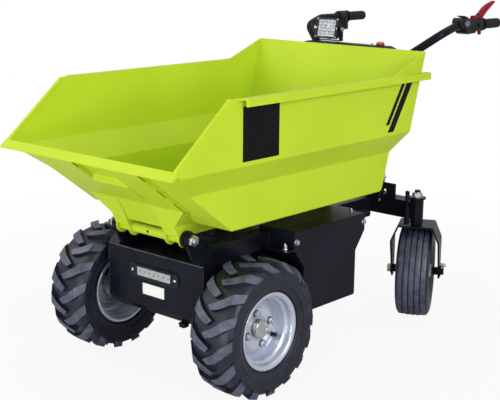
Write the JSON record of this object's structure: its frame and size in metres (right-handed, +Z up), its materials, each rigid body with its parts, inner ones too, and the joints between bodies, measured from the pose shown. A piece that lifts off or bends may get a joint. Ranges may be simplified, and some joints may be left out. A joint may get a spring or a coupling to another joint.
{
  "type": "walk-behind site dumper",
  "caption": "Walk-behind battery site dumper: folded green hopper that tips forward on a black chassis, lug-tyred front wheels, swivel casters behind, handlebars with controls.",
  "frame": {"origin": "on the ground, in the middle of the machine's overall length and width", "axes": "+Z up, +Y from the hopper's lip towards the operator, +X to the machine's left"},
  "size_m": [0.77, 1.696, 1.081],
  "materials": {
    "green_paint": "gloss lime green paint on folded steel sheet",
    "black_powder": "satin black powder coat",
    "tyre_rubber": "matt black rubber",
    "zinc_rim": "satin silver galvanised steel",
    "zinc_bolt": "bright zinc plated steel",
    "black_plastic": "moulded black plastic",
    "grip_rubber": "soft black rubber",
    "red_plastic": "gloss red plastic",
    "lamp_lens": "clear lens over light emitting diodes"
  },
  "bodies": {
    "hopper": {"hopper_tub": "green_paint", "hopper_rims": "green_paint", "rear_guard": "green_paint", "tilt_channels": "green_paint", "pivot_tube": "green_paint", "chute_stiffener": "green_paint"},
    "chassis": {"main_frame": "black_powder", "pivot_pin": "zinc_bolt", "axle_box": "black_powder", "axle_stubs": "black_powder", "battery_case": "black_powder", "side_covers": "black_powder", "hopper_buffers": "grip_rubber", "rear_crossbar": "black_powder", "lock_pins": "black_powder", "lashing_plates": "black_powder", "handlebar_frame": "black_powder", "grips": "grip_rubber", "console": "black_powder", "emergency_stop": "red_plastic", "work_lamp": "black_plastic", "work_lamp_lens": "lamp_lens", "work_lamp_bracket": "black_powder", "brake_lever": "red_plastic", "switch_cluster": "black_plastic", "throttle_collar": "black_plastic", "light_bar": "black_plastic", "light_bar_lens": "lamp_lens"},
    "front_wheel_left": {"front_tyre_left": "tyre_rubber", "front_rim_left": "zinc_rim", "front_hub_left": "zinc_rim"},
    "caster_left": {"caster_fork_left": "black_powder", "caster_axle_left": "zinc_bolt"},
    "caster_wheel_left": {"caster_tyre_left": "tyre_rubber", "caster_rim_left": "zinc_rim"},
    "front_wheel_right": {"front_tyre_right": "tyre_rubber", "front_rim_right": "zinc_rim", "front_hub_right": "zinc_rim"},
    "caster_right": {"caster_fork_right": "black_powder", "caster_axle_right": "zinc_bolt"},
    "caster_wheel_right": {"caster_tyre_right": "tyre_rubber", "caster_rim_right": "zinc_rim"}
  },
  "joints": [
    {"name": "hopper_tip", "type": "hinge", "parent": "chassis", "child": "hopper", "pos_m": [0, -0.577, 0.45], "axis": [1, 0, 0], "range_deg": [0, 60]},
    {"name": "front_wheel_left_roll", "type": "hinge", "parent": "chassis", "child": "front_wheel_left", "pos_m": [0.305, -0.477, 0.203], "axis": [1, 0, 0], "continuous": true},
    {"name": "front_wheel_right_roll", "type": "hinge", "parent": "chassis", "child": "front_wheel_right", "pos_m": [-0.305, -0.477, 0.203], "axis": [1, 0, 0], "continuous": true},
    {"name": "caster_left_swivel", "type": "hinge", "parent": "chassis", "child": "caster_left", "pos_m": [0.273, 0.403, 0.38], "axis": [0, 0, 1], "continuous": true},
    {"name": "caster_left_roll", "type": "hinge", "parent": "caster_left", "child": "caster_wheel_left", "pos_m": [0.24752, 0.45174, 0.16], "axis": [0.8862, 0.4633, 0], "continuous": true},
    {"name": "caster_right_swivel", "type": "hinge", "parent": "chassis", "child": "caster_right", "pos_m": [-0.273, 0.403, 0.38], "axis": [0, 0, 1], "continuous": true},
    {"name": "caster_right_roll", "type": "hinge", "parent": "caster_right", "child": "caster_wheel_right", "pos_m": [-0.24752, 0.45174, 0.16], "axis": [0.8862, -0.4633, 0], "continuous": true}
  ]
}
